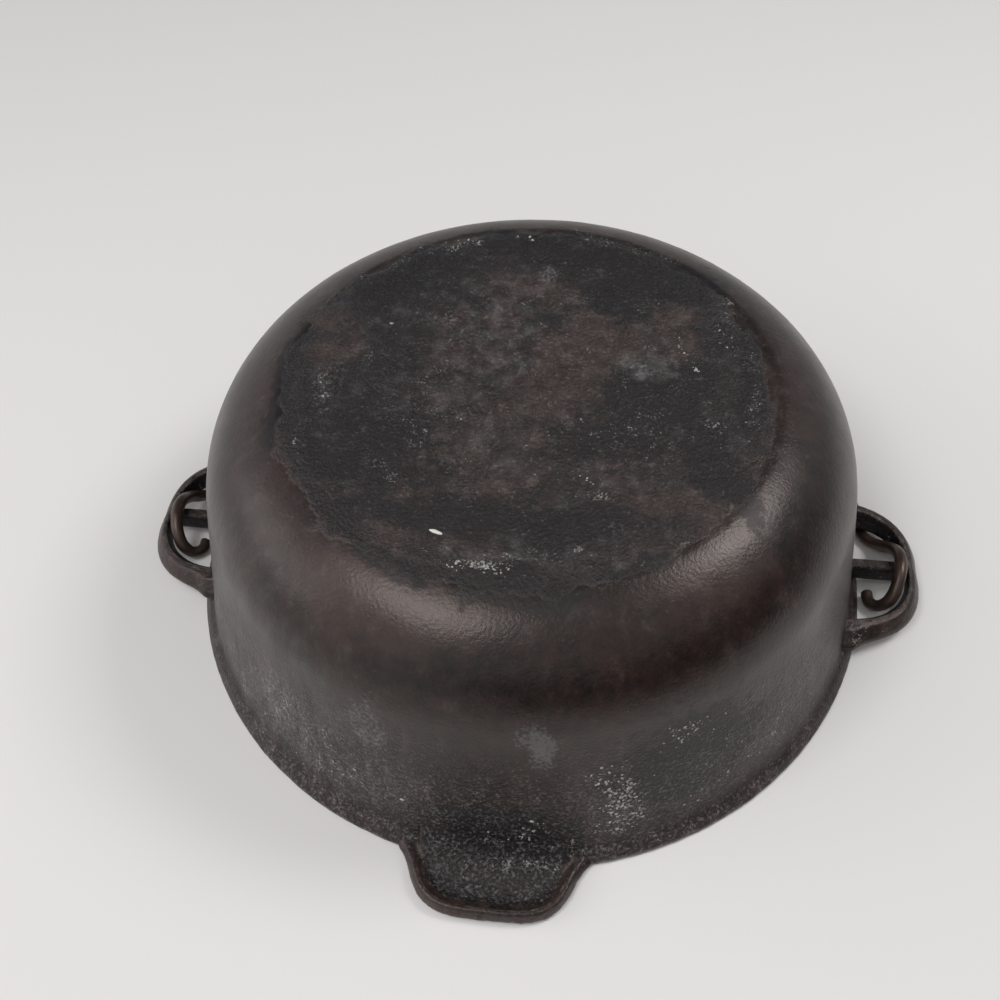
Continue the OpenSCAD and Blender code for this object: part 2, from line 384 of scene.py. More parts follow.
def loft(bm: bmesh.types.BMesh, rings: list[list[tuple[float, float, float]]]) -> None:
    """Extrudes a first ring of points through the following ones and closes both ends.

    Args:
        bm: the mesh that it goes into.
        rings: rings of equally many points in millimetres.
    """
    verts = [bm.verts.new(Vector(p) * MM) for p in rings[0]]
    edges = [bm.edges.new((verts[i - 1], verts[i])) for i in range(len(verts))]
    first = list(edges)
    for ring in rings[1:]:
        made = bmesh.ops.extrude_edge_only(bm, edges=edges)["geom"]
        fresh = {v for v in made if isinstance(v, bmesh.types.BMVert)}
        verts = [next(w for e in v.link_edges if (w := e.other_vert(v)) in fresh) for v in verts]
        for v, p in zip(verts, ring):
            v.co = Vector(p) * MM
        edges = [e for e in made if isinstance(e, bmesh.types.BMEdge) and set(e.verts) <= fresh]
    bmesh.ops.edgeloop_fill(bm, edges=first)
    bmesh.ops.edgeloop_fill(bm, edges=edges)
    bmesh.ops.recalc_face_normals(bm, faces=bm.faces)


def cast_together(bm: bmesh.types.BMesh, voxel: float, passes: int) -> bmesh.types.BMesh:
    """Joins overlapping closed shells into one skin with the soft edges of a casting.

    Args:
        bm: the shells, which are freed.
        voxel: the new skin's spacing in millimetres.
        passes: how many times the skin is smoothed.

    Returns:
        The joined mesh.
    """
    bmesh.ops.recalc_face_normals(bm, faces=bm.faces)
    mesh = bpy.data.meshes.new("shells")
    bm.to_mesh(mesh)
    bm.free()
    piece = bpy.data.objects.new("shells", mesh)
    bpy.context.scene.collection.objects.link(piece)
    skin = piece.modifiers.new("skin", "REMESH")
    skin.mode = "VOXEL"
    skin.voxel_size = voxel * MM
    seen = piece.evaluated_get(bpy.context.evaluated_depsgraph_get())
    joined = bpy.data.meshes.new_from_object(seen)
    out = bmesh.new()
    out.from_mesh(joined)
    for _ in range(passes):
        bmesh.ops.smooth_vert(out, verts=out.verts, factor=0.5, use_axis_x=True, use_axis_y=True, use_axis_z=True)
    bpy.data.objects.remove(piece)
    bpy.data.meshes.remove(mesh)
    bpy.data.meshes.remove(joined)
    return out


def half_superellipse(root: float, along: float, across: float, power: float,
                      steps: int) -> list[tuple[float, float]]:
    """Half of a superellipse from -Y round +X to +Y.

    Args:
        root: x of its two ends.
        along: its reach in x.
        across: its half width in y.
        power: 2 is an ellipse, more is squarer.
        steps: number of stretches.

    Returns:
        The points.
    """
    points = []
    for i in range(steps + 1):
        f = math.pi * (i / steps - 0.5)
        c, s = max(math.cos(f), 0), math.sin(f)
        points.append((root + along * c ** (2 / power), across * math.copysign(abs(s) ** (2 / power), s)))
    return points


def bezier(a: tuple[float, float], b: tuple[float, float], c: tuple[float, float],
           steps: int) -> list[tuple[float, float]]:
    """Points along a curve from a to c that leaves and arrives pointing at b.

    Args:
        a: start.
        b: the corner that it rounds.
        c: end.
        steps: number of stretches.

    Returns:
        The points, both ends included.
    """
    out = []
    for i in range(steps + 1):
        t = i / steps
        out.append(tuple((1 - t) ** 2 * p + 2 * t * (1 - t) * q + t ** 2 * r for p, q, r in zip(a, b, c)))
    return out


def along_edge(path: list[tuple[float, float]],
               sections: list[list[tuple[float, float]]]) -> list[list[tuple[float, float, float]]]:
    """Stands a section, given as outward offset and height, at each point of a flat path.

    Args:
        path: the path in x and y.
        sections: a section for each of its points.

    Returns:
        Rings for loft.
    """
    rings = []
    for i, (p, section) in enumerate(zip(path, sections)):
        a, b = path[max(i - 1, 0)], path[min(i + 1, len(path) - 1)]
        out = Vector((b[1] - a[1], a[0] - b[0])).normalized()
        rings.append([(p[0] + out.x * q, p[1] + out.y * q, h) for q, h in section])
    return rings


# Wear, dirt, painted shade and a painted reflection, listed one by one


@dataclass(frozen=True)
class PlanPatch:
    """A worn or dirty place seen in plan, on faces near one level."""

    kind: Wear
    x: float
    y: float
    half_x: float
    half_y: float
    turn: float = 0
    strength: float = 1
    level: float = 104

    def weight(self, points: np.ndarray) -> np.ndarray:
        """How strong the patch is at each point.

        Args:
            points: an n by 3 array in millimetres.

        Returns:
            n values from 0 to the patch's strength.
        """
        c, s = math.cos(math.radians(self.turn)), math.sin(math.radians(self.turn))
        dx, dy = points[:, 0] - self.x, points[:, 1] - self.y
        far = np.hypot((c * dx + s * dy) / self.half_x, (c * dy - s * dx) / self.half_y)
        near = np.abs(points[:, 2] - self.level) < 7
        return np.where(near, self.strength * np.clip(1.5 - far, 0, 1), 0)


@dataclass(frozen=True)
class WallPatch:
    """A place of wear, dirt, painted shade or painted reflection on the wall, by direction and height."""

    kind: Wear
    azimuth: float
    height: float
    half_w: float
    half_h: float
    strength: float = 1

    def weight(self, points: np.ndarray) -> np.ndarray:
        """How strong the patch is at each point.

        Args:
            points: an n by 3 array in millimetres.

        Returns:
            n values from 0 to the patch's strength.
        """
        turn = np.degrees(np.arctan2(points[:, 1], points[:, 0])) - self.azimuth
        turn = (turn + 180) % 360 - 180
        across = np.radians(turn) * np.hypot(points[:, 0], points[:, 1])
        far = np.hypot(across / self.half_w, (points[:, 2] - self.height) / self.half_h)
        return self.strength * np.clip(1.5 - far, 0, 1)


PATCHES = (
    # Brown places where the coat is thin: the middle and the right
    PlanPatch(Wear.BARE, 12, 8, 14, 26),
    PlanPatch(Wear.BARE, 27, 25, 16, 16),
    PlanPatch(Wear.BARE, -20, 20, 26, 26, 0, 0.55),
    PlanPatch(Wear.BARE, 50, 30, 13, 18, 0, 0.7),
    PlanPatch(Wear.BARE, -5, 50, 26, 14, 0, 0.6),
    PlanPatch(Wear.BARE, 0, -45, 9, 6, 0, 0.8),
    PlanPatch(Wear.BARE, -8, -32, 11, 16, 0, 0.6),
    PlanPatch(Wear.BARE, -74, 18, 12, 22, 0, 0.6),
    # Greyer, dusty places in the middle
    PlanPatch(Wear.DUST_AND_REFLECTION, 0, 0, 95, 95, 0, 0.2),
    PlanPatch(Wear.DUST_AND_REFLECTION, -18, 18, 24, 26, 0, 0.45),
    PlanPatch(Wear.DUST_AND_REFLECTION, -14, 50, 22, 14, 0, 0.3),
    PlanPatch(Wear.DUST_AND_REFLECTION, 42, 12, 9, 7, 0, 1.1),
    PlanPatch(Wear.DUST_AND_REFLECTION, -30, -8, 16, 12, 0, 0.4),
    PlanPatch(Wear.DUST_AND_REFLECTION, -8, -32, 9, 16, 0, 0.45),
    PlanPatch(Wear.DUST_AND_REFLECTION, 5, -77, 44, 3, 0, 0.5),
    # Blue-black burnt places with crisp edges
    PlanPatch(Wear.BURNT_AND_SHADE, 27, 46, 11, 10),
    PlanPatch(Wear.BURNT_AND_SHADE, 45, 60, 20, 13),
    PlanPatch(Wear.BURNT_AND_SHADE, 20, 72, 28, 8, 0, 0.9),
    PlanPatch(Wear.BURNT_AND_SHADE, 52, -4, 11, 17, -12),
    PlanPatch(Wear.BURNT_AND_SHADE, 36, -8, 11, 12, 0, 0.95),
    PlanPatch(Wear.BURNT_AND_SHADE, 30, -26, 22, 14, 0, 0.8),
    PlanPatch(Wear.BURNT_AND_SHADE, 62, -28, 9, 22, 12, 0.85),
    PlanPatch(Wear.BURNT_AND_SHADE, -52, 56, 30, 14, 40, 0.75),
    PlanPatch(Wear.BURNT_AND_SHADE, -18, 75, 30, 7, 0, 0.75),
    PlanPatch(Wear.BURNT_AND_SHADE, -45, -36, 26, 22, -30, 0.72),
    PlanPatch(Wear.BURNT_AND_SHADE, -20, -62, 46, 8, 0, 0.85),
    PlanPatch(Wear.BURNT_AND_SHADE, 22, -62, 26, 9, 12, 0.8),
    PlanPatch(Wear.BURNT_AND_SHADE, -70, -38, 9, 26, 35, 0.7),
    PlanPatch(Wear.BURNT_AND_SHADE, 77, 8, 5, 34, 0, 0.85),
    PlanPatch(Wear.BURNT_AND_SHADE, 70, -42, 7, 18, 30, 0.85),
    PlanPatch(Wear.BURNT_AND_SHADE, 5, -88, 22, 8, 0, 1.1),
    PlanPatch(Wear.BURNT_AND_SHADE, -88, -6, 5, 34, 0, 0.9),
    PlanPatch(Wear.BURNT_AND_SHADE, 0, 83, 34, 4, 0, 0.9),
    PlanPatch(Wear.BURNT_AND_SHADE, -36, -82, 17, 3.5, -18, 1.1),
    PlanPatch(Wear.BURNT_AND_SHADE, -60, -62, 16, 3, -42, 0.95),
    PlanPatch(Wear.BURNT_AND_SHADE, 42, -77, 14, 3, 28, 0.8),
    # Pale ash and scale
    PlanPatch(Wear.ASH, 0, 0, 95, 95, 0, 0.5),
    PlanPatch(Wear.ASH, 28, -49, 8, 6, -30, 0.95),
    PlanPatch(Wear.ASH, -8, -81.5, 13, 3, 0, 1.05),
    PlanPatch(Wear.ASH, -34, 75, 9, 6, 20, 0.88),
    PlanPatch(Wear.ASH, 72, 42, 7, 22, 30, 0.68),
    PlanPatch(Wear.ASH, 78, 0, 4, 38, 0, 0.72),
    PlanPatch(Wear.ASH, 64, -16, 4, 9, 0, 0.8),
    PlanPatch(Wear.ASH, -72, -8, 4, 15, 0, 0.7),
    PlanPatch(Wear.ASH, -77, -33, 3, 3, 0, 0.85),
    PlanPatch(Wear.ASH, -60, 6, 6, 14, 0, 0.66),
    PlanPatch(Wear.ASH, 40, -22, 26, 26, 0, 0.6),
    PlanPatch(Wear.ASH, -35, -18, 26, 26, 0, 0.6),
    PlanPatch(Wear.ASH, -42, -46, 22, 4, -38, 0.72),
    PlanPatch(Wear.ASH, 8, -76, 50, 4, 0, 0.72),
    PlanPatch(Wear.ASH, 30, 80, 40, 6, -18, 0.66),
    PlanPatch(Wear.ASH, -60, 62, 26, 6, 42, 0.68),
    # Soft grey wipe marks
    PlanPatch(Wear.WIPED, 0, 0, 95, 95, 0, 0.14),
    PlanPatch(Wear.WIPED, 3, 61, 6, 5, 0, 0.55),
    PlanPatch(Wear.WIPED, -36, 31, 9, 3.5, 10, 0.3),
    PlanPatch(Wear.WIPED, -24, 21, 4, 3, 0, 0.3),
    PlanPatch(Wear.WIPED, 41, 9, 5, 4, 0, 0.5),
    PlanPatch(Wear.WIPED, -72, -8, 5, 16, 0, 0.35),
    PlanPatch(Wear.WIPED, 32, -63, 8, 4, 20, 0.3),
    WallPatch(Wear.WIPED, -83, 65, 5, 10, 0.8),
    WallPatch(Wear.WIPED, -90, 20, 200, 34, 0.34),
    WallPatch(Wear.WIPED, -38, 30, 22, 22, 0.3),
    WallPatch(Wear.WIPED, -128, 34, 26, 24, 0.45),
    WallPatch(Wear.WIPED, -110, 58, 7, 16, 0.5),
    WallPatch(Wear.WIPED, -34, 50, 8, 10, 0.4),
    # Ash on the wall, mostly low on the right of the tab
    WallPatch(Wear.ASH, -70, 26, 9, 24, 0.8),
    WallPatch(Wear.ASH, -60, 58, 12, 8, 0.72),
    WallPatch(Wear.ASH, -75, 46, 5, 6, 0.75),
    WallPatch(Wear.ASH, -55, 38, 22, 14, 0.72),
    WallPatch(Wear.ASH, -38, 32, 28, 24, 0.7),
    WallPatch(Wear.ASH, -83, 38, 4, 6, 0.7),
    WallPatch(Wear.ASH, -118, 30, 30, 26, 0.68),
    WallPatch(Wear.ASH, -126, 38, 22, 16, 0.78),
    WallPatch(Wear.ASH, -140, 20, 12, 10, 0.8),
    WallPatch(Wear.ASH, -150, 24, 26, 22, 0.66),
    # Brown shoulders, and a greyer wall on the left: dust, and a painted reflection of the bright table
    WallPatch(Wear.BARE, -112, 97, 46, 12, 0.6),
    WallPatch(Wear.BARE, -45, 99, 40, 10, 0.5),
    # partly dust, partly painted reflection: the left wall is paler where it mirrors the bright table
    WallPatch(Wear.DUST_AND_REFLECTION, -140, 44, 66, 40, 0.7),
    WallPatch(Wear.DUST_AND_REFLECTION, -38, 34, 26, 26, 0.25),
    # Darker, burnt-coloured places low on the wall, in front and to the right
    WallPatch(Wear.BURNT_AND_SHADE, -60, 44, 30, 26, 0.85),
    # painted shade: darkens the low wall in front, by the tab, where it reflects the tab's shadow
    WallPatch(Wear.BURNT_AND_SHADE, -88, 18, 26, 14, 0.85),
    # Ash and rubbed places on the tab and at the right ear's root
    PlanPatch(Wear.ASH, -2, -131.5, 6, 2.5, 0, 0.95, 6),
    PlanPatch(Wear.ASH, 4, -137, 7, 3, 0, 0.9, 6),
    PlanPatch(Wear.ASH, 17, -137, 8, 2.5, 0, 0.95, 6),
    PlanPatch(Wear.ASH, 25, -130, 3.5, 4, 0, 0.9, 6),
    PlanPatch(Wear.ASH, -14, -125, 5, 3, 0, 0.8, 10),
    PlanPatch(Wear.ASH, 131, -34, 4, 6, 0, 0.9, 6),
    PlanPatch(Wear.BARE, 3, -153, 12, 3, 0, 1, 6),
)


@dataclass(frozen=True)
class CrumbRow:
    """Crumbs along a line on the base, in plan."""

    line: tuple[tuple[float, float], ...]
    count: int
    spread: float
    size: float


@dataclass(frozen=True)
class CrumbCloud:
    """Crumbs strewn over the wall, thickest in the middle."""

    azimuth: float
    height: float
    half_w: float
    half_h: float
    count: int
    size: float


CRUMBS = (
    CrumbRow(((52, 28), (55, 20), (58, 14), (61, 5), (63, -5)), 44, 0.7, 0.55),
    CrumbRow(((58, 14), (60, 9)), 4, 0.5, 0.6),
    CrumbRow(((-58, 24.5), (-50, 28)), 9, 0.3, 0.55),
    CrumbRow(((-13, 81), (-6, 81)), 12, 0.6, 0.55),
    CrumbRow(((65, 43), (73.5, 21), (77.5, -2), (76, -22)), 26, 1.6, 0.5),
    CrumbRow(((25.5, 32.5), (25.8, 32.8)), 1, 0.1, 0.7),
    CrumbRow(((22, -42), (26, -50), (30, -52)), 30, 2.2, 0.45),
    CrumbRow(((-18, -81), (3, -82)), 46, 1.6, 0.5),
    CrumbRow(((-38, 72), (-30, 77)), 26, 2.4, 0.55),
    CrumbCloud(-70.5, 26, 7.5, 20, 260, 0.62),
    CrumbCloud(-60, 57, 9, 6, 40, 0.45),
    CrumbCloud(-74, 46, 4, 5, 20, 0.55),
    CrumbCloud(-56, 20, 16, 8, 40, 0.5),
    CrumbCloud(-84, 18, 8, 6, 26, 0.5),
    CrumbCloud(-36, 22, 24, 14, 60, 0.5),
    CrumbCloud(-115, 20, 26, 14, 40, 0.5),
)


# The pot


@dataclass
class CastPot:
    """The cast pot: its turned body, two ears with webs, and the pouring tab."""

    rim_r: float = 136.5
    pot_h: float = 104
    wall_t: float = 4.2
    wall_lean: float = 9.75
    shoulder_r: float = 41.6
    pad_r: float = 86.4
    pad_h: float = 0.3
    flange_out: float = 3.1
    flange_h: float = 5.5
    fillet_h: float = 11
    rim_bevel: float = 1.1
    ear_out: float = 19.5
    ear_half_w: float = 29.3
    ear_low: float = 5.4
    ear_top: float = 13
    web_t: float = 5.6
    tab_out: float = 19.4
    tab_half_w: float = 30
    tab_floor_h: float = 3.4
    tab_lip_h: float = 6.5
    turn_steps: int = 512
    spacing: float = 1.5

    def wall_r(self, z: float) -> float:
        """Radius of the wall's outer face at a height."""
        return self.rim_r - self.flange_out - z * math.tan(math.radians(self.wall_lean))

    def shoulder(self) -> tuple[float, float]:
        """Radius and height of the shoulder arc's centre."""
        z = self.pot_h - self.pad_h - self.shoulder_r
        return self.wall_r(z) - self.shoulder_r / math.cos(math.radians(self.wall_lean)), z

    def outer_r(self, z: np.ndarray) -> np.ndarray:
        """Radius of the outer face at each height.

        Args:
            z: heights in millimetres.

        Returns:
            The radii, on the wall's line or the shoulder's arc.
        """
        cx, cz = self.shoulder()
        wall = self.rim_r - self.flange_out - z * math.tan(math.radians(self.wall_lean))
        arc = cx + np.sqrt(np.clip(self.shoulder_r ** 2 - (z - cz) ** 2, 0, None))
        return np.where(z < cz + self.shoulder_r * math.sin(math.radians(self.wall_lean)), wall, arc)

    def profile(self) -> list[tuple[float, float]]:
        """The iron's outline from the middle of the inner floor round the rim to the base.

        Returns:
            Radius and height of each point, closely spaced on the outside.
        """
        cx, cz = self.shoulder()
        lean = math.radians(self.wall_lean)
        skew = self.wall_t / math.cos(lean)
        inner_r = self.shoulder_r - self.wall_t
        floor_z = self.pot_h - self.pad_h - self.wall_t
        mouth_r = self.wall_r(0) - skew + 0.8
        inner_arc = [(cx + inner_r * math.sin(a), cz + inner_r * math.cos(a))
                     for a in np.linspace(0, math.pi / 2 - lean, 11)]
        fillet = bezier((self.rim_r - 2.5, self.flange_h), (self.wall_r(self.flange_h) - 0.3, self.flange_h + 0.8),
                        (self.wall_r(self.fillet_h), self.fillet_h), 5)
        pad_drop = math.sqrt(self.shoulder_r ** 2 - (self.pad_r - cx) ** 2)
        start = math.atan2(self.pad_r - cx, pad_drop)
        arc_steps = round(self.shoulder_r * (math.pi / 2 - lean - start) / self.spacing)
        outer_arc = [(cx + self.shoulder_r * math.sin(a), cz + self.shoulder_r * math.cos(a))
                     for a in np.linspace(math.pi / 2 - lean, start, arc_steps + 1)]
        edge = bezier(outer_arc[-1], (self.pad_r - 3, self.pot_h), (self.pad_r - 6, self.pot_h), 4)
        corners = [
            [(0, floor_z), (cx, floor_z), 7],
            [inner_arc[0], inner_arc[-1], inner_arc],
            [inner_arc[-1], (self.wall_r(1) - skew, 1), 9],
            [(self.wall_r(1) - skew, 1), (mouth_r, 0), 1],
            [(mouth_r, 0), (self.rim_r - self.rim_bevel, 0), 4],
            [(self.rim_r - self.rim_bevel, 0), (self.rim_r, self.rim_bevel), 2],
            [(self.rim_r, self.rim_bevel), (self.rim_r, self.rim_bevel + 0.8), 1],
            [(self.rim_r, self.rim_bevel + 0.8), (self.rim_r - 1.9, self.flange_h - 0.6), 3],
            [(self.rim_r - 1.9, self.flange_h - 0.6), fillet[0], 1],
            [fillet[0], fillet[-1], fillet],
            [fillet[-1], outer_arc[0], round((outer_arc[0][1] - self.fillet_h) / self.spacing)],
            [outer_arc[0], outer_arc[-1], outer_arc],
            [outer_arc[-1], edge[-1], edge],
            [edge[-1], (0, self.pot_h), 54],
        ]
        points = [corners[0][0]]
        for a, b, how in corners:
            if isinstance(how, int):
                points += [(a[0] + (b[0] - a[0]) * i / how, a[1] + (b[1] - a[1]) * i / how) for i in range(1, how + 1)]
            else:
                points += [p for p in how[1:]]
        return points

    def body(self, finish: bpy.types.Material) -> bpy.types.Object:
        """Turns the pot's wall and base, with the mould's unevenness and the wear.

        Args:
            finish: the iron's material.

        Returns:
            The piece.
        """
        bm = bmesh.new()
        points = self.profile()
        last = bm.verts.new((points[0][0] * MM, 0, points[0][1] * MM))
        for r, z in points[1:]:
            made = bmesh.ops.extrude_vert_indiv(bm, verts=[last])["verts"][0]
            made.co = (r * MM, 0, z * MM)
            last = made
        bmesh.ops.spin(bm, geom=bm.verts[:] + bm.edges[:], cent=(0, 0, 0), axis=(0, 0, 1),
                       angle=2 * math.pi, steps=self.turn_steps, use_merge=True)
        bmesh.ops.remove_doubles(bm, verts=bm.verts, dist=0.00002)
        bmesh.ops.recalc_face_normals(bm, faces=bm.faces)
        bm.normal_update()
        place = np.array([v.co for v in bm.verts]) / MM
        outside = self.is_outside(place)
        lift = self.relief(place, outside)
        for v, d in zip(bm.verts, lift):
            v.co += v.normal * float(d) * MM
        piece = finished(bm, "pot_body", finish)
        self.dress(piece)
        return piece

    def is_outside(self, place: np.ndarray) -> np.ndarray:
        """Which points lie on the pot's outer face.

        Args:
            place: an n by 3 array in millimetres.

        Returns:
            n truth values.
        """
        r = np.hypot(place[:, 0], place[:, 1])
        high = place[:, 2] > self.pot_h - 1.5
        return high | (r > self.outer_r(place[:, 2]) - 1.5)

    def relief(self, place: np.ndarray, outside: np.ndarray) -> np.ndarray:
        """Height of the mould's unevenness and the crust at each point.

        Args:
            place: an n by 3 array in millimetres.
            outside: whether each point is on the outer face.

        Returns:
            n distances along the normal in millimetres, none above 0 on the base.
        """
        r = np.hypot(place[:, 0], place[:, 1])
        lift = np.zeros(len(place))
        for i, (p, on) in enumerate(zip(place, outside)):
            at = Vector(p)
            d = 0.14 * noise.noise(at / 24) + 0.025 * noise.noise(at / 6.5 + Vector((7, 0, 0)))
            if on:
                low = min(max((66 - p[2]) / 30, 0), 1)
                crust = min(max((p[2] - 102.5) / 1, 0), 1)
                d += (0.01 + 0.14 * low + 0.06 * crust) * noise.noise(at / 3.1 + Vector((0, 9, 0)))
                flake = min(max((noise.noise(at / 10 + Vector((4, 2, 0))) - 0.02) / 0.08, 0), 1)
                ring = math.exp(-((r[i] - 85) / 4) ** 2)
                come = min(max(noise.noise(at / 30 + Vector((1, 8, 0))) * 2.5 + 0.6, 0), 1)
                d += crust * (0.16 * flake + 0.4 * come * ring * noise.noise(at / 4 + Vector((3, 3, 3))))
            lift[i] = d
        lift[place[:, 2] < 0.2] = 0
        top = place[:, 2] > 103
        return np.where(top, np.clip(lift - 0.3, -0.9, 0), np.clip(lift - 0.05, -0.6, 0.2))

    def measure(self, piece: bpy.types.Object) -> np.ndarray:
        """Reads a piece's vertices.

        Args:
            piece: the piece, whose mesh is in metres at its place.

        Returns:
            An n by 3 array in millimetres.
        """
        place = np.empty(len(piece.data.vertices) * 3)
        piece.data.vertices.foreach_get("co", place)
        return place.reshape(-1, 3) / MM

    def patched(self, place: np.ndarray) -> dict[Wear, np.ndarray]:
        """Weights of all the listed patches, with strayed edges.

        Args:
            place: an n by 3 array in millimetres.

        Returns:
            n values for each kind of wear.
        """
        strayed = self.stray(place)
        values = {kind: np.zeros(len(place)) for kind in Wear}
        for patch in PATCHES:
            values[patch.kind] = np.maximum(values[patch.kind], patch.weight(strayed))
        return values

    def stray(self, place: np.ndarray) -> np.ndarray:
        """Moves points a little sideways, so that edges drawn by their place wander.

        Args:
            place: an n by 3 array in millimetres.

        Returns:
            The moved points, at their old heights.
        """
        moved = place + np.array([noise.noise_vector(Vector(p) / 13) for p in place]) * 5
        moved += np.array([noise.noise_vector(Vector(p) / 5) for p in place]) * 2
        moved[:, 2] = place[:, 2]
        return moved

    def store(self, piece: bpy.types.Object, values: dict[Wear, np.ndarray]) -> None:
        """Keeps the wear on a piece as attributes.

        Args:
            piece: the piece.
            values: a value for each vertex and kind.
        """
        for kind, value in values.items():
            kept = piece.data.attributes.new(kind.value, "FLOAT", "POINT")
            kept.data.foreach_set("value", value.astype(np.float32))

    def dress(self, piece: bpy.types.Object) -> None:
        """Writes the wear, with the painted shade and painted reflection on the wall, on the turned body as attributes.

        Args:
            piece: the piece, whose mesh is in metres at its place.
        """
        place = self.measure(piece)
        values = self.patched(place)
        r = np.hypot(place[:, 0], place[:, 1])
        height = place[:, 2]
        strayed = self.stray(place)
        crusted = np.hypot(strayed[:, 0] + 2.5, strayed[:, 1] + 2.5)
        values[Wear.CARBON] = np.clip((self.pad_r + 3.5 - crusted) / 6, 0, 1) * (height > 99)
        low = np.clip((66 - height) / 26, 0, 1)
        values[Wear.PITTED] = np.maximum(values[Wear.PITTED], low * (height < 80))
        values[Wear.ASH] = np.maximum(values[Wear.ASH], 0.6 * np.clip((14 - height) / 6, 0, 1))
        rim = np.clip(1.5 - np.abs(height - 1.2) / 1.6, 0, 1) * (r > self.rim_r - 2)
        values[Wear.GROUND] = np.maximum(values[Wear.GROUND], 0.62 * rim)
        outside = self.is_outside(place)
        for kind in values:
            values[kind] = np.where(outside, values[kind], 0.25 * (kind is Wear.PITTED))
        self.store(piece, values)

    def ear_section(self, x: float, y: float) -> list[tuple[float, float]]:
        """Section of an ear's loop where its crest passes a point.

        Args:
            x: the crest's x.
            y: the crest's y.

        Returns:
            Outward offset and height of each corner.
        """
        side = abs(y) / self.ear_half_w
        flare = 4.5 * math.exp(-max(x - self.rim_r + 6, 0) / 3.5)
        foot_in, foot_out = -1.4 - 4.2 * side ** 1.5, 3.6 + 2 * side + flare
        top_in, top_out = -1.4 - 0.4 * side, 1.4 + 1.4 * side + 0.6 * flare
        low, top = self.ear_low, self.ear_top
        return [
            (foot_in + 0.8, low),
            (foot_out - 1, low),
            (foot_out, low + 1),
            (foot_out - 0.5, low + 3),
            (top_out, top - 1.3),
            (top_out - 1, top - 0.3),
            (-0.2, top),
            (-1.2, top - 0.4),
            (top_in, top - 1.6),
            (foot_in, low + 0.9),
        ]

    def ear(self, side: int, finish: bpy.types.Material) -> bpy.types.Object:
        """One ear: a loop with a rounded crest and the web that the bail hooks over.

        Args:
            side: 1 for +X, -1 for -X.
            finish: the iron's material.

        Returns:
            The piece.
        """
        root = self.rim_r - 11
        crest = half_superellipse(root, self.rim_r + self.ear_out - root, self.ear_half_w, 2.5, 72)
        bm = bmesh.new()
        loft(bm, along_edge(crest, [self.ear_section(x, y) for x, y in crest]))
        low, top, round_r = self.ear_low - 1.6, self.ear_top - 0.2, 2
        ends = (root + 3, self.rim_r + self.ear_out - 0.8)
        made = bmesh.ops.create_cube(bm, size=MM)["verts"]
        bmesh.ops.scale(bm, vec=(ends[1] - ends[0], self.web_t, top - low), verts=made)
        bmesh.ops.translate(bm, vec=Vector(((ends[0] + ends[1]) / 2, 0, (top + low) / 2)) * MM, verts=made)
        edges = [e for e in {e for v in made for e in v.link_edges}
                 if abs(e.verts[0].co.x - e.verts[1].co.x) > 5 * MM]
        bmesh.ops.bevel(bm, geom=edges, offset=round_r * MM, affect="EDGES", segments=4, profile=0.5, material=-1)
        bm = cast_together(bm, 0.6, 4)
        self.roughen(bm, 0.10)
        if side < 0:
            bmesh.ops.scale(bm, vec=(-1, 1, 1), verts=bm.verts)
        piece = finished(bm, "ear_right" if side > 0 else "ear_left", finish)
        self.dress_ear(piece)
        return piece

    def tab(self, finish: bpy.types.Material) -> bpy.types.Object:
        """The pouring tab: a floor at the rim's height inside a rounded lip.

        Args:
            finish: the iron's material.

        Returns:
            The piece.
        """
        root = self.rim_r - 16
        along = self.rim_r + self.tab_out - root
        lip_in, lip_foot, low = 2.4, 5, 0.8
        edge = [p for p in half_superellipse(root, along, self.tab_half_w, 3.5, 88) if p[0] > 127]
        sections = []
        for x, _ in edge:
            flare = 5 * math.exp(-max(x - self.rim_r + 4, 0) / 4.5)
            crest = flare * 0.8 - lip_in
            top = self.tab_lip_h - 1.6 * math.exp(-max(x - self.rim_r + 2, 0) / 4)
            sections.append([
                (-lip_in - lip_foot, low),
                (flare - 0.8, low),
                (flare, low + 0.8),
                (flare - 0.2, low + 2),
                (crest + 0.9, top - 0.5),
                (crest, top),
                (-lip_in - 0.4, top),
                (-lip_in - 1.4, top - 0.9),
                (-lip_in - lip_foot, self.tab_floor_h),
            ])
        bm = bmesh.new()
        loft(bm, along_edge(edge, sections))
        inset = lip_in + 1
        top = self.fillet_h + 5
        rise = bezier((self.rim_r + 8, self.tab_floor_h), (self.wall_r(self.tab_floor_h) + 0.5, self.tab_floor_h + 0.4),
                      (self.wall_r(top) - 0.6, top), 10)
        half = self.tab_half_w - inset
        inner = 129.6
        rings = []
        for y in np.linspace(-half + 0.2, half - 0.2, 48):
            reach = root + (along - inset) * (1 - abs(y / half) ** 3.5) ** (1 / 3.5)
            reach = max(reach, self.rim_r + 1)
            ring = [(math.sqrt(inner ** 2 - y ** 2), low), (reach, low), (reach, self.tab_floor_h)]
            ring += [(min(math.sqrt(r ** 2 - y ** 2), reach), h) for r, h in rise]
            ring += [(math.sqrt(inner ** 2 - y ** 2), top)]
            rings.append([(x, float(y), h) for x, h in ring])
        loft(bm, rings)
        bmesh.ops.rotate(bm, cent=(0, 0, 0), matrix=Matrix.Rotation(math.radians(-90), 3, "Z"), verts=bm.verts)
        bm = cast_together(bm, 0.6, 10)
        self.roughen(bm, 0.22)
        piece = finished(bm, "pouring_tab", finish)
        self.dress_tab(piece)
        return piece

    def roughen(self, bm: bmesh.types.BMesh, depth: float) -> None:
        """Presses a sand mould's grain into a mesh.

        Args:
            bm: the mesh.
            depth: how deep the grain goes in millimetres.
        """
        bm.normal_update()
        for v in bm.verts:
            at = v.co / MM
            d = 0.6 * noise.noise(at / 3) + 0.4 * noise.noise(at / 1.5 + Vector((5, 5, 5))) - 0.6
            v.co += v.normal * (depth * d * MM)

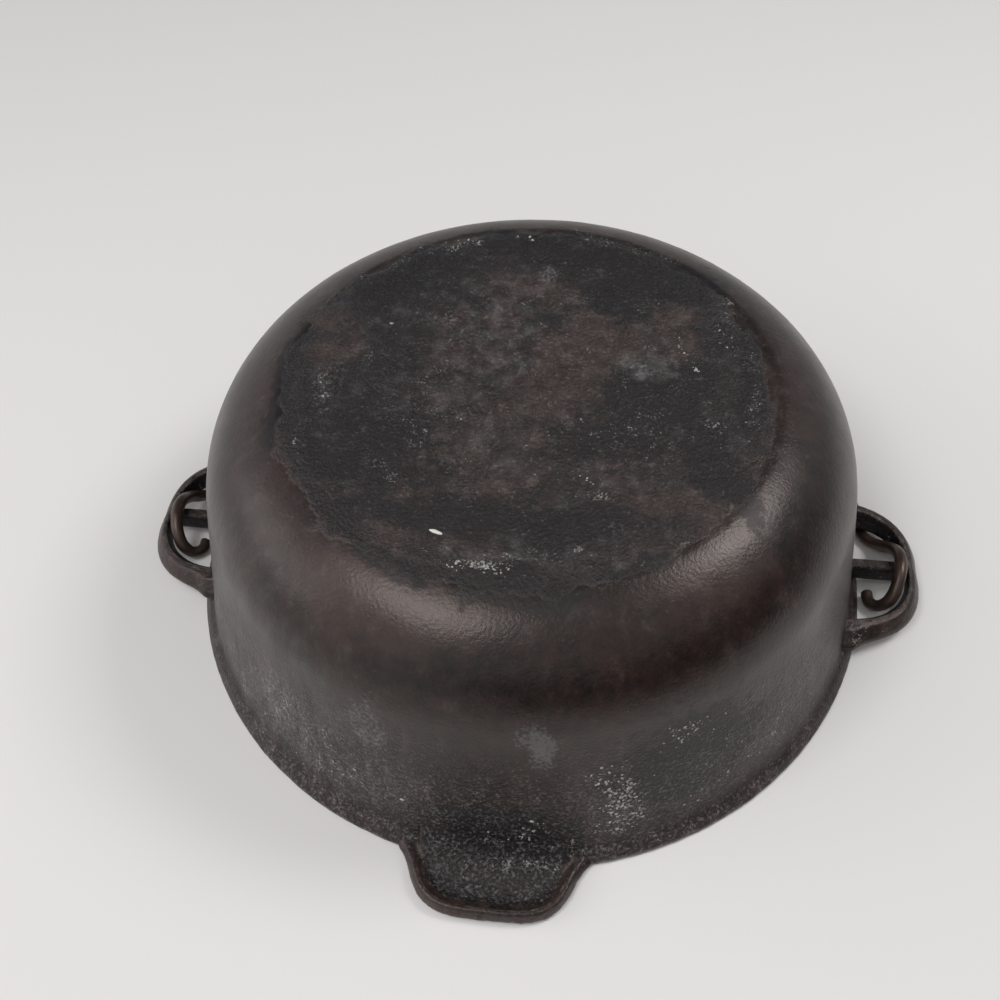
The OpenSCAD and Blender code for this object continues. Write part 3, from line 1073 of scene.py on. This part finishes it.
    def dress_ear(self, piece: bpy.types.Object) -> None:
        """Writes an ear's wear and painted shade: the inside of the loop is darkened with the burnt coat's colour as
        painted shade of the recess, and grainy; rubbed along the crest.

        Args:
            piece: the piece, whose mesh is in metres at its place.
        """
        place = self.measure(piece)
        root = self.rim_r - 11
        reach = self.rim_r + self.ear_out - root
        along = np.clip((np.abs(place[:, 0]) - root) / reach, 0, None)
        across = np.abs(place[:, 1]) / self.ear_half_w
        off = 30 * ((along ** 2.5 + across ** 2.5) ** 0.4 - 1)
        values = self.patched(place)
        inside = np.clip(-0.6 - off, 0, 1)
        crest = np.clip(1.4 - np.abs(off + 0.6), 0, 1) * np.clip(place[:, 2] - self.ear_top + 2, 0, 1)
        web_top = inside * np.clip(place[:, 2] - self.ear_top + 1.6, 0, 1)
        # painted shade: the loop's inside, all but the web's top, takes the burnt coat's dark colour
        values[Wear.BURNT_AND_SHADE] = np.maximum(values[Wear.BURNT_AND_SHADE], 0.95 * inside - 0.6 * web_top)
        values[Wear.GROUND] = np.maximum(0.5 * crest, 0.35 * web_top)
        values[Wear.PITTED] = np.clip(0.2 + 0.8 * inside + 0.6 * crest, 0, 1)
        values[Wear.WIPED] *= 0.4 + 0.6 * np.maximum(inside, crest)
        values[Wear.BARE] = np.clip(off, 0, 1) * 0.5
        values[Wear.ASH] = np.maximum(values[Wear.ASH], 0.5 + 0.12 * crest)
        self.store(piece, values)

    def dress_tab(self, piece: bpy.types.Object) -> None:
        """Writes the tab's wear: burnt and grainy inside the lip, brown and rubbed on it.

        Args:
            piece: the piece, whose mesh is in metres at its place.
        """
        place = self.measure(piece)
        root = self.rim_r - 16
        reach = self.rim_r + self.tab_out - root
        along = np.clip((-place[:, 1] - root) / reach, 0, None)
        across = np.abs(place[:, 0]) / self.tab_half_w
        off = 30 * ((along ** 3.5 + across ** 3.5) ** (1 / 3.5) - 1)
        values = self.patched(place)
        inside = np.clip((-4 - off) / 1.5, 0, 1)
        crest = np.clip(1.3 - np.abs(off + 2.8), 0, 1) * np.clip(place[:, 2] - self.tab_lip_h + 1.6, 0, 1)
        values[Wear.BURNT_AND_SHADE] = np.maximum(values[Wear.BURNT_AND_SHADE], 0.85 * inside)
        values[Wear.PITTED] = np.clip(0.2 + inside, 0, 1)
        values[Wear.WIPED] *= 0.3 + 0.7 * inside
        values[Wear.GROUND] = 0.5 * crest
        values[Wear.BARE] = np.maximum(values[Wear.BARE], 0.55 * (1 - inside))
        values[Wear.ASH] = np.maximum(values[Wear.ASH], 0.52)
        self.store(piece, values)

    def build(self, finish: bpy.types.Material) -> list[bpy.types.Object]:
        """Makes the pot's pieces and hangs them on their body.

        Args:
            finish: the iron's material.

        Returns:
            The pieces.
        """
        made = [self.body(finish), self.ear(1, finish), self.ear(-1, finish), self.tab(finish)]
        for piece in made:
            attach(piece, Body.POT.value)
            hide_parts(Body.POT.value)
        return made


# The bail


@dataclass
class Bail:
    """The bent rod: two hooks round the ears' webs and the arc behind the pot."""

    pot: CastPot
    rod_d: float = 4.8
    bail_out: float = 19.4
    pivot_z: float = 8.3
    rest_drop: float = 5.8
    hook_r: float = 7.525
    hook_x: float = 151
    sides: int = 24

    def route(self) -> list[Vector]:
        """The rod's middle line from one hook's tip to the other's.

        Returns:
            Closely spaced points in millimetres.
        """
        reach, half = self.hook_x - self.pot.rim_r, self.pot.ear_half_w
        shares = (
            (-0.786, -0.287, -0.88), (-0.745, -0.44, -0.845), (-0.51, -0.52, -0.6), (-0.289, -0.5, 0.04),
            (-0.145, -0.386, 0.57), (-0.049, -0.2, 0.97), (0, -0.01, 1.035), (-0.014, 0.157, 0.865),
            (-0.083, 0.328, 0.36), (-0.214, 0.464, -0.24), (-0.407, 0.594, -0.776), (-0.634, 0.724, -0.965),
            (-0.752, 0.92, -1),
        )
        hook = [Vector((self.hook_x + reach * a, half * b,
                        self.pivot_z + (self.rest_drop if c < 0 else self.hook_r) * c)) for a, b, c in shares]
        end = (self.hook_x - 0.822 * reach, 1.16 * half)
        crown = self.pot.rim_r + self.bail_out - self.rod_d / 2
        centre = (crown ** 2 - end[0] ** 2 - end[1] ** 2) / (2 * (crown - end[1]))
        arc_r = crown - centre
        start = math.asin((end[1] - centre) / arc_r)
        arc = [Vector((arc_r * math.cos(f), centre + arc_r * math.sin(f), self.pivot_z - self.rest_drop))
               for f in np.linspace(start, math.pi - start, 113)]
        side = self.smooth(hook + [arc[0]], 8)
        other = [Vector((-p.x, p.y, p.z)) for p in reversed(side)]
        return side + arc + other

    @staticmethod
    def smooth(points: list[Vector], steps: int) -> list[Vector]:
        """A smooth curve through points.

        Args:
            points: what it passes through.
            steps: stretches from each point to the next.

        Returns:
            Its points, the last one left out.
        """
        out = []
        for i in range(len(points) - 1):
            a, b = points[max(i - 1, 0)], points[i]
            c, d = points[i + 1], points[min(i + 2, len(points) - 1)]
            for j in range(steps):
                t = j / steps
                out.append(0.5 * (2 * b + (c - a) * t + (2 * a - 5 * b + 4 * c - d) * t ** 2
                                  + (3 * b - a - 3 * c + d) * t ** 3))
        return out

    def rod(self, finish: bpy.types.Material) -> bpy.types.Object:
        """Sweeps the rod along its route, slightly uneven as forged rod is.

        Args:
            finish: the rod's material.

        Returns:
            The piece.
        """
        path = self.route()
        count = len(path)
        tangents = [(path[min(i + 1, count - 1)] - path[max(i - 1, 0)]).normalized() for i in range(count)]
        side = tangents[0].cross(Vector((0, 0, 1))).normalized()
        rings = []
        nose = [(0.95, 0.45), (0.7, 0.75), (0.35, 0.93)]
        stations = []
        for i, (p, t) in enumerate(zip(path, tangents)):
            side = (side - t * side.dot(t)).normalized()
            thicker = 0.1 * min(max((p.z - 4) / 4, 0), 1)
            stations.append((p, t, side.copy(), 1 + thicker))
        first, last = stations[0], stations[-1]
        head = [(first[0] - first[1] * a, first[1], first[2], b) for a, b in nose]
        tail = [(last[0] + last[1] * a, last[1], last[2], b) for a, b in reversed(nose)]
        for p, t, across, share in head + stations + tail:
            up = t.cross(across)
            ring = []
            for j in range(self.sides):
                f = 2 * math.pi * j / self.sides
                out = across * math.cos(f) + up * math.sin(f)
                uneven = 0.09 * noise.noise((p + out * 2) / 6) + 0.05 * noise.noise((p + out * 2) / 2.2) - 0.09
                ring.append(tuple(p + out * (self.rod_d / 2 * share + min(uneven, 0))))
            rings.append(ring)
        bm = bmesh.new()
        loft(bm, rings)
        return finished(bm, "bail_rod", finish)

    def build(self, finish: bpy.types.Material) -> list[bpy.types.Object]:
        """Makes the bail and hangs it on its body.

        Args:
            finish: the rod's material.

        Returns:
            The pieces.
        """
        piece = self.rod(finish)
        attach(piece, Body.BAIL.value)
        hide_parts(Body.BAIL.value)
        return [piece]


# Crumbs


@dataclass
class Residue:
    """Dried crumbs of ash and scale that stick to the pot, and one long pale flake."""

    pot: CastPot
    seed: int = 11

    def crumb(self, bm: bmesh.types.BMesh, place: Vector, normal: Vector, size: float, stretch: float,
              turn: float) -> None:
        """One flattened crumb.

        Args:
            bm: the mesh that it goes into.
            place: its middle in millimetres.
            normal: the iron's normal there.
            size: its width in millimetres.
            stretch: how much longer than wide it is.
            turn: its turn about the normal in radians.
        """
        lie = normal.to_track_quat("Z", "Y").to_matrix().to_4x4()
        shape = Matrix.Diagonal((stretch, 1, 0.5, 1))
        matrix = Matrix.Translation(place * MM) @ lie @ Matrix.Rotation(turn, 4, "Z") @ shape
        made = bmesh.ops.create_icosphere(bm, subdivisions=2, radius=size * 0.5 * MM, matrix=matrix)["verts"]
        for v in made:
            v.co += (v.co - place * MM) * (0.35 * noise.noise(v.co / MM * 1.7))

    def on_base(self, x: float, y: float) -> tuple[Vector, Vector]:
        """A point on the base and its normal."""
        return Vector((x, y, self.pot.pot_h - 0.28)), Vector((0, 0, 1))

    def on_wall(self, azimuth: float, height: float) -> tuple[Vector, Vector]:
        """A point on the wall and its normal.

        Args:
            azimuth: direction in degrees.
            height: millimetres over the rim's plane.

        Returns:
            The point in millimetres and the outward normal.
        """
        a = math.radians(azimuth)
        r = self.pot.wall_r(height)
        lean = math.radians(self.pot.wall_lean)
        normal = Vector((math.cos(a) * math.cos(lean), math.sin(a) * math.cos(lean), math.sin(lean)))
        return Vector((r * math.cos(a), r * math.sin(a), height)), normal

    def build(self, finish: bpy.types.Material) -> list[bpy.types.Object]:
        """Strews the crumbs and hangs them on the pot.

        Args:
            finish: the crumbs' material.

        Returns:
            The pieces.
        """
        chance = random.Random(self.seed)
        bm = bmesh.new()
        for group in CRUMBS:
            for i in range(group.count):
                if isinstance(group, CrumbRow):
                    share = chance.random() * (len(group.line) - 1)
                    a, b = group.line[int(share)], group.line[min(int(share) + 1, len(group.line) - 1)]
                    x, y = (p + (q - p) * (share % 1) + chance.gauss(0, group.spread) for p, q in zip(a, b))
                    place, normal = self.on_base(x, y)
                else:
                    azimuth = group.azimuth + chance.gauss(0, 0.55) * group.half_w / 2.2
                    height = group.height + chance.gauss(0, 0.55) * group.half_h
                    if not 12 < height < 66:
                        continue
                    place, normal = self.on_wall(azimuth, height)
                size = group.size * chance.lognormvariate(0, 0.35)
                self.crumb(bm, place, normal, size, chance.uniform(1, 1.8), chance.uniform(0, math.pi))
        crumbs = finished(bm, "ash_crumbs", finish)
        bm = bmesh.new()
        place, normal = self.on_base(-23, -69.5)
        self.crumb(bm, place, normal, 1.5, 3.4, math.radians(-20))
        flake = finished(bm, "pale_flake", PlainSheet("dried_starch", "d9d6cc", 0.7).material())
        for piece in (crumbs, flake):
            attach(piece, Body.POT.value)
            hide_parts(Body.POT.value)
        return [crumbs, flake]


# Studio


@dataclass
class Studio:
    """Camera, floor, soft dome, two soft boxes and a black flag in front."""

    focal_px: float = 1100
    camera_mm: tuple[float, float, float] = (27.2, -277.9, 380.5)
    aim: tuple[float, float, float] = (-0.0879914, 0.62558249, -0.77518002)
    right: tuple[float, float, float] = (0.99349694, 0.11156537, -0.02273774)
    dome: float = 0.6
    from_left: float = 0.32
    dark_azimuth: float = -42
    dim_way: tuple[float, float, float] = (-0.05, 0.62, 0.78)
    floor_colour: str = "e9e7e4"

    def camera(self) -> None:
        """Sets up the camera as the photograph was taken, for a 1000 by 1000 frame."""
        data = bpy.data.cameras.new("camera")
        data.sensor_width = 36
        data.lens = self.focal_px * 36 / 1000
        data.clip_start, data.clip_end = 0.01, 20
        camera = bpy.data.objects.new("camera", data)
        bpy.context.scene.collection.objects.link(camera)
        forward, right = Vector(self.aim).normalized(), Vector(self.right).normalized()
        up = right.cross(forward)
        turn = Matrix((right, up, -forward)).transposed().to_4x4()
        camera.matrix_world = Matrix.Translation(Vector(self.camera_mm) * MM) @ turn
        bpy.context.scene.camera = camera

    def sheet(self, name: str, finish: PlainSheet, size: tuple[float, float], place: tuple[float, float, float],
              tilt: float = 0, turn: float = 0) -> bpy.types.Object:
        """One flat sheet of the studio.

        Args:
            name: its name.
            finish: its material's data.
            size: width and depth in metres.
            place: its middle in metres.
            tilt: turn about X in degrees.
            turn: turn about Z in degrees, after the tilt.

        Returns:
            The sheet.
        """
        bm = bmesh.new()
        made = bmesh.ops.create_grid(bm, x_segments=1, y_segments=1, size=0.5)["verts"]
        bmesh.ops.scale(bm, vec=(size[0], size[1], 1), verts=made)
        bmesh.ops.rotate(bm, cent=(0, 0, 0), matrix=Matrix.Rotation(math.radians(tilt), 3, "X"), verts=made)
        bmesh.ops.rotate(bm, cent=(0, 0, 0), matrix=Matrix.Rotation(math.radians(turn), 3, "Z"), verts=made)
        bmesh.ops.translate(bm, vec=place, verts=made)
        sheet = finished(bm, name, finish.material())
        return sheet

    def lamp(self, name: str, azimuth: float, elevation: float, distance: float, size: tuple[float, float],
             watts: float) -> None:
        """A soft box that faces the pot.

        Args:
            name: its name.
            azimuth: direction from the pot in degrees.
            elevation: height over the horizon in degrees.
            distance: metres from the pot.
            size: width and height in metres.
            watts: power.
        """
        data = bpy.data.lights.new(name, "AREA")
        data.shape, data.energy = "RECTANGLE", watts
        data.size, data.size_y = size
        lamp = bpy.data.objects.new(name, data)
        bpy.context.scene.collection.objects.link(lamp)
        a, e = math.radians(azimuth), math.radians(elevation)
        way = Vector((math.cos(a) * math.cos(e), math.sin(a) * math.cos(e), math.sin(e)))
        lamp.location = Vector((0, 0, 0.09)) + way * distance
        lamp.rotation_euler = way.to_track_quat("Z", "Y").to_euler()

    def dome_light(self) -> None:
        """Lights the scene from all round, but hardly from low down in front, where the room is dark."""
        world = bpy.data.worlds.new("dome")
        bpy.context.scene.world = world
        world.use_nodes = True
        t = world.node_tree
        t.nodes.clear()
        way = add(t, "ShaderNodeTexCoord").outputs["Generated"]
        a = math.radians(self.dark_azimuth)
        facing = add(t, "ShaderNodeVectorMath", {0: way}, operation="DOT_PRODUCT",
                     in_1=(math.cos(a), math.sin(a), 0)).outputs["Value"]
        parts = add(t, "ShaderNodeSeparateXYZ", {0: way})
        facing = add(t, "ShaderNodeMapRange", {"Value": facing}, From_Min=0.34, From_Max=0.6).outputs["Result"]
        low = add(t, "ShaderNodeMapRange", {"Value": parts.outputs["Z"]}, From_Min=0.46, From_Max=0.22).outputs["Result"]
        dark = add(t, "ShaderNodeMath", {0: facing, 1: low}, operation="MULTIPLY").outputs[0]
        above = add(t, "ShaderNodeVectorMath", {0: way}, operation="DOT_PRODUCT", in_1=self.dim_way).outputs["Value"]
        above = add(t, "ShaderNodeMapRange", {"Value": above}, From_Min=0.72, From_Max=0.88)
        dark = add(t, "ShaderNodeMath", {0: dark, 1: above.outputs["Result"]}, operation="MAXIMUM").outputs[0]
        level = add(t, "ShaderNodeMapRange", {"Value": dark}, To_Min=self.dome, To_Max=0.1 * self.dome)
        side = add(t, "ShaderNodeMapRange", {"Value": parts.outputs["X"]}, From_Min=-1, To_Min=1 + self.from_left,
                   To_Max=1 - self.from_left)
        level = add(t, "ShaderNodeMath", {0: level.outputs["Result"], 1: side.outputs["Result"]}, operation="MULTIPLY")
        sky = add(t, "ShaderNodeBackground", {"Strength": level.outputs["Value"]}, Color=linear("fdfcff"))
        add(t, "ShaderNodeOutputWorld", {"Surface": sky.outputs["Background"]})

    def build(self) -> None:
        """Makes the whole studio."""
        scene = bpy.context.scene
        scene.view_settings.view_transform = "Standard"
        self.camera()
        self.sheet("floor", PlainSheet("white_painted_table", self.floor_colour), (6, 6), (0, 0, 0))
        flag = self.sheet("flag", PlainSheet("black_flag_cloth", "050505", 1.0), (0.86, 0.24), (0.31, -0.29, 0.12), 90, 45)
        flag.visible_camera = flag.visible_diffuse = flag.visible_shadow = flag.visible_transmission = False
        self.dome_light()
        self.lamp("near_soft_box", -136, 61, 1.2, (0.52, 0.42), 4.8)
        self.lamp("right_soft_box", 20, 51, 1.2, (0.4, 0.38), 4.7)
        self.lamp("window", -174, 22, 1.7, (1.1, 0.8), 4)


def main() -> None:
    """Builds the pot, the bail and the studio."""
    logging.basicConfig(level=logging.INFO, format="%(name)s: %(message)s", stream=sys.stdout)
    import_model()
    iron = SeasonedCastIron().material()
    rod = HandledIronRod().material()
    pot = CastPot()
    pieces = pot.build(iron) + Bail(pot).build(rod) + Residue(pot).build(DriedResidue().material())
    Studio().build()
    for piece in pieces:
        piece.data.calc_loop_triangles()
        log.info("%s: %d triangles", piece.name, len(piece.data.loop_triangles))


if __name__ == "__main__":
    main()
